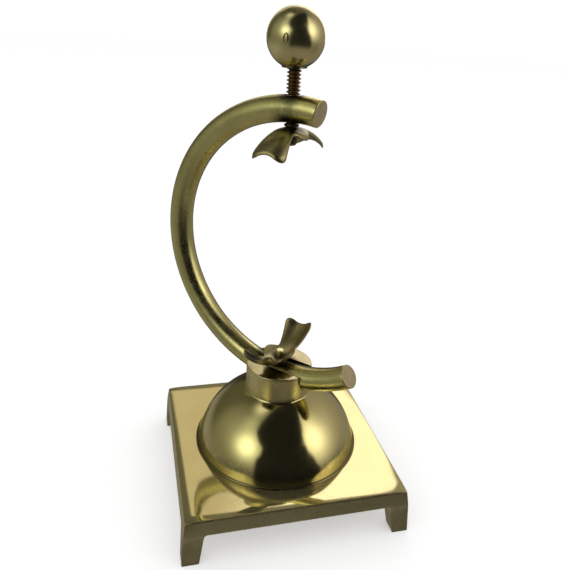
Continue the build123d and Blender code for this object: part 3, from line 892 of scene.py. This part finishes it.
def finish_cad_nodes():
    """Materials of the CAD nodes that stay as they are."""
    # The hub, thrust washer and sleeve get near-black brass as painted shade.
    choice = {
        "jaw_hub": painted_shade_brass, "base_washer": wall_brass, "lock_washer": steel,
        "base_nut": steel, "thrust_washer": painted_shade_brass, "retaining_sleeve": painted_shade_brass,
    }
    for node, material in choice.items():
        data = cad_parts[node].data
        data.materials.clear()
        data.materials.append(material)


# ---- Studio ---------------------------------------------------------------------------------
CAMERA = Vector((-70.56, -268.72, 247.21)) * MM
CAMERA_YAW = -0.26
CAMERA_PITCH = 0.429
CAMERA_ROLL = 0.053
CAMERA_LENS = 37.7


def studio_camera():
    """Camera of the main view, with a slight roll."""
    data = bpy.data.cameras.new("studio_camera")
    data.lens = CAMERA_LENS
    data.sensor_width = 36.0
    data.clip_start = 0.01
    obj = bpy.data.objects.new("studio_camera", data)
    bpy.context.scene.collection.objects.link(obj)
    ahead = Vector((-sin(CAMERA_YAW) * cos(CAMERA_PITCH), cos(CAMERA_YAW) * cos(CAMERA_PITCH),
                    -sin(CAMERA_PITCH)))
    right = Vector((cos(CAMERA_YAW), sin(CAMERA_YAW), 0))
    up = right.cross(ahead)
    rolled_right = right * cos(CAMERA_ROLL) + up * sin(CAMERA_ROLL)
    rolled_up = up * cos(CAMERA_ROLL) - right * sin(CAMERA_ROLL)
    obj.matrix_world = axes_at(CAMERA, rolled_right, rolled_up, -ahead)
    bpy.context.scene.camera = obj


def window(x, low, high, soft):
    """1 between two values, 0 outside, with soft sides."""
    return step(low - soft, low + soft, x) * (1 - step(high - soft, high + soft, x))


def along(points, x):
    """Value at x on a line through (x, value) points."""
    for (x0, y0), (x1, y1) in zip(points, points[1:]):
        if x <= x1:
            return y0 + (y1 - y0) * max(0.0, (x - x0) / (x1 - x0))
    return points[-1][1]


# Sides of the dark figure that stands on the camera's side: (elevation, azimuth) in degrees.
FIGURE_LEFT = ((-90, -27), (15, -26), (25, -21), (32, -21), (40, -32), (50, -43), (60, -46),
               (90, -46))
FIGURE_RIGHT = ((-90, 65), (-8, 65), (0, 60), (10, 57), (20, 52), (32, 51), (42, 55), (50, 65),
                (58, 76), (63, 95), (66, 130), (90, 135))


# Soft patches of light: colour, strength, (azimuth, elevation) of the middle, width, height.
COOL, WARM, NEUTRAL = (0.95, 1.0, 0.86), (1.0, 0.95, 0.88), (1.0, 0.97, 0.90)
PATCHES = (
    (COOL, 0.14, (-92, -26), 30, 14),
    (COOL, 0.22, (-50, 26), 45, 22),
    (COOL, 1.4, (-45, 26), 17, 14),
    (COOL, 0.28, (-62, 52), 20, 14),
    (WARM, 0.30, (78, 26), 42, 26),
    (NEUTRAL, 1.05, (68, 29), 21, 22),
    ((1.0, 0.96, 0.88), 0.30, (84, 58), 22, 14),
    ((1.0, 1.0, 0.9), 0.75, (-92, 72), 25, 9),
)


def blob(azimuth, elevation, centre, wide, tall):
    """Soft patch of light, 1 in the middle."""
    return exp(-(((azimuth - centre[0]) / wide) ** 2) - ((elevation - centre[1]) / tall) ** 2)


def room_glow(azimuth, elevation):
    """Colour that the studio shows in reflections. The azimuth counts from the camera's side,
    positive to its right: two soft windows, a pale backdrop and a dark camera side."""
    left, right = Vector((0.155, 0.15, 0.115)), Vector((0.235, 0.22, 0.20))
    glow = left.lerp(right, step(-60, 60, azimuth))
    glow = glow.lerp(Vector((0.09, 0.085, 0.07)), step(40, 70, elevation))
    low_side = Vector((0.15, 0.145, 0.125)).lerp(Vector((0.22, 0.21, 0.20)),
                                                 step(95, 125, abs(azimuth)))
    glow = glow.lerp(low_side, step(2, -12, elevation))
    glow = glow.lerp(Vector((0.20, 0.185, 0.165)), step(-25, -45, elevation))
    glow *= 1 - 0.45 * window(azimuth, -165, -112, 12) * step(-8, 4, elevation)
    glow *= 1 - 0.8 * step(148, 162, abs(azimuth)) * window(elevation, -40, 14, 6)
    for colour, strength, centre, wide, tall in PATCHES:
        glow += Vector(colour) * strength * blob(azimuth, elevation, centre, wide, tall)
    low = along(FIGURE_LEFT, elevation)
    high = along(FIGURE_RIGHT, elevation)
    figure = window(azimuth, low, high, 2.5) * step(-36, -20, elevation)
    return glow.lerp(Vector((0.012, 0.012, 0.013)), figure)


def emissive_paint(mesh, colours):
    """Gives a mesh one emission colour per vertex."""
    paint = mesh.attributes.new("glow", "FLOAT_COLOR", "POINT")
    for item, colour in zip(paint.data, colours):
        item.color = (*colour, 1)
    if "room_glow" not in bpy.data.materials:
        material = bpy.data.materials.new("room_glow")
        material.use_nodes = True
        tree = material.node_tree
        tree.nodes.clear()
        tint = tree.nodes.new("ShaderNodeAttribute")
        tint.attribute_name = "glow"
        shine = tree.nodes.new("ShaderNodeEmission")
        out = tree.nodes.new("ShaderNodeOutputMaterial")
        tree.links.new(tint.outputs["Color"], shine.inputs["Color"])
        tree.links.new(shine.outputs[0], out.inputs["Surface"])
        material.cycles.emission_sampling = "NONE"
    mesh.materials.append(bpy.data.materials["room_glow"])


def only_reflected(name, mesh):
    """Stage piece that nothing but reflections see."""
    obj = bpy.data.objects.new(name, mesh)
    bpy.context.scene.collection.objects.link(obj)
    obj.visible_camera = False
    obj.visible_diffuse = False
    obj.visible_shadow = False
    obj.visible_transmission = False


def backdrop_card():
    """Pale sweep of paper behind the object, brighter towards its right."""
    heading = atan2(CAMERA.y, CAMERA.x)
    behind = Vector((-cos(heading), -sin(heading), 0))
    side = Vector((-sin(heading), cos(heading), 0))
    distance, half, low, high = 345.0, 210.0, 198.0, 560.0
    across, up = 60, 60
    verts, faces, colours = [], [], []
    for j in range(up + 1):
        z = low + (high - low) * j / up
        for i in range(across + 1):
            x = -half + 2 * half * i / across
            verts.append(behind * distance + side * x + UP * z)
            paper = Vector((0.55, 0.49, 0.41)).lerp(Vector((1.32, 1.24, 1.26)), step(-80, 45, x))
            edge = min(1.0, (half - abs(x)) / 25, (high - z) / 30, (z - low) / 25)
            azimuth = (180 if x > 0 else -180) - degrees(atan2(x, distance))
            room = room_glow(azimuth, degrees(atan2(z - 60, distance)))
            colours.append(room.lerp(paper, step(0, 1, edge)))
    for j in range(up):
        for i in range(across):
            a = j * (across + 1) + i
            faces.append((a, a + 1, a + across + 2, a + across + 1))
    mesh = bpy.data.meshes.new("backdrop_card")
    mesh.from_pydata([v * MM for v in verts], [], faces)
    emissive_paint(mesh, colours)
    only_reflected("backdrop_card", mesh)


def reflected_room():
    """Sphere around everything that only reflections see, coloured by room_glow."""
    across, up = 240, 120
    radius = 5000
    heading = degrees(atan2(CAMERA.y, CAMERA.x))
    verts, colours = [], []
    for j in range(up + 1):
        elevation = -90 + 180 * j / up
        for i in range(across):
            azimuth = -180 + 360 * i / across
            flat = cos(radians(elevation))
            turn = radians(heading + azimuth)
            ray = Vector((cos(turn) * flat, sin(turn) * flat, sin(radians(elevation))))
            verts.append(ray * radius)
            colours.append(room_glow(azimuth, elevation))
    mesh = bpy.data.meshes.new("reflected_room")
    mesh.from_pydata([v * MM for v in verts], [], ring_faces(up + 1, across))
    emissive_paint(mesh, colours)
    only_reflected("reflected_room", mesh)


def soft_light(name, azimuth, elevation, distance, size, power):
    """Soft area light that lights the floor and casts the object's shadow on it."""
    data = bpy.data.lights.new(name, "AREA")
    data.shape = "DISK"
    data.size = size
    data.energy = power
    obj = bpy.data.objects.new(name, data)
    bpy.context.scene.collection.objects.link(obj)
    heading = atan2(CAMERA.y, CAMERA.x) + radians(azimuth)
    flat = cos(radians(elevation)) * distance
    obj.location = (cos(heading) * flat, sin(heading) * flat, sin(radians(elevation)) * distance)
    obj.rotation_euler = (-obj.location).to_track_quat("-Z", "Y").to_euler()
    obj.visible_camera = False
    obj.visible_glossy = False


def studio():
    """Pale floor, white world, two soft lights and what the metal reflects."""
    size = 60000
    floor = new_object("floor", [(-size, -size, 0), (size, -size, 0), (size, size, 0),
                                 (-size, size, 0)], [(0, 1, 2, 3)])
    pale = bpy.data.materials.new("pale_floor")
    pale.use_nodes = True
    shader = pale.node_tree.nodes["Principled BSDF"]
    shader.inputs["Base Color"].default_value = (0.62, 0.62, 0.62, 1)
    shader.inputs["Emission Color"].default_value = (1, 1, 1, 1)
    shader.inputs["Emission Strength"].default_value = 0.38
    shader.inputs["Roughness"].default_value = 0.8
    shader.inputs["Specular IOR Level"].default_value = 0.1
    floor.data.materials.append(pale)
    floor.visible_glossy = False
    world = bpy.data.worlds.new("studio_world")
    bpy.context.scene.world = world
    world.use_nodes = True
    world.node_tree.nodes["Background"].inputs["Color"].default_value = (1.0, 1.0, 1.0, 1)
    world.node_tree.nodes["Background"].inputs["Strength"].default_value = 1.04
    soft_light("left_light", -50, 55, 1.8, 1.6, 1.2)
    soft_light("right_light", 75, 55, 1.8, 1.6, 2.0)
    reflected_room()
    backdrop_card()
    bpy.context.scene.view_settings.view_transform = "Standard"


studio_camera()
studio()
base_casting()
dome_turning()
bent_bar()
lower_jaw_piece()
upper_jaw_piece()
stud_piece()
solder_fillet()
ball_turning()
pin_piece()
screw_piece()
finish_cad_nodes()
